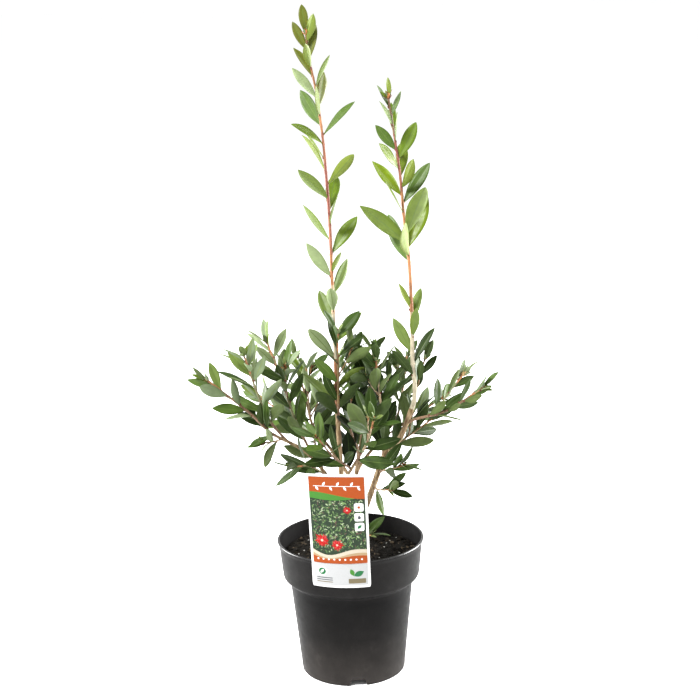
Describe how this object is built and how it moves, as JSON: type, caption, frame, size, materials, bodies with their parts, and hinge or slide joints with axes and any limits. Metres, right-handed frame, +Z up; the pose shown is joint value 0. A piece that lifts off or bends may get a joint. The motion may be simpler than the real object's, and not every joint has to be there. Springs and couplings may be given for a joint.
{
  "type": "potted bottlebrush shrub",
  "caption": "Young evergreen shrub with two tall leafy leaders over a low bush of narrow pointed leaves, in a black nursery pot with a picture tag hooked over its rim.",
  "frame": {"origin": "middle of the pot's flat underside, which is what the plant stands on", "axes": "+Z up along the pot's axis; -Y towards the side that the tag hangs on; +X to the right of that side"},
  "size_m": [0.4069, 0.2986, 0.9027],
  "materials": {
    "black_plastic": "satin",
    "peat": "rough, crumbly",
    "printed_card": "satin print",
    "bark": "rough",
    "foliage": "satin leaf"
  },
  "bodies": {
    "root": {"pot": "black_plastic", "soil": "peat", "tag": "printed_card", "trunk": "bark", "right_limb": "bark", "left_limb": "bark", "left_bough": "bark", "back_limb": "bark", "back_left_bough": "bark", "back_right_bough": "bark", "front_bough": "bark", "left_leader_low": "foliage", "left_leader_middle": "foliage", "left_leader_top": "foliage", "right_leader_low": "foliage", "right_leader_middle": "foliage", "right_leader_top": "foliage", "far_left": "foliage", "left_front": "foliage", "left_inner": "foliage", "left_back": "foliage", "left_low": "foliage", "left_small": "foliage", "centre_front": "foliage", "centre_right": "foliage", "centre_back": "foliage", "centre_low": "foliage", "far_right": "foliage", "right_upper": "foliage", "right_inner": "foliage", "right_low_back": "foliage", "right_low": "foliage", "right_foot": "foliage", "back_left": "foliage", "back_left_outer": "foliage", "back_right": "foliage", "back_right_outer": "foliage", "back_centre": "foliage", "front_left": "foliage", "front_right": "foliage", "pot_shoot": "foliage"}
  },
  "joints": []
}
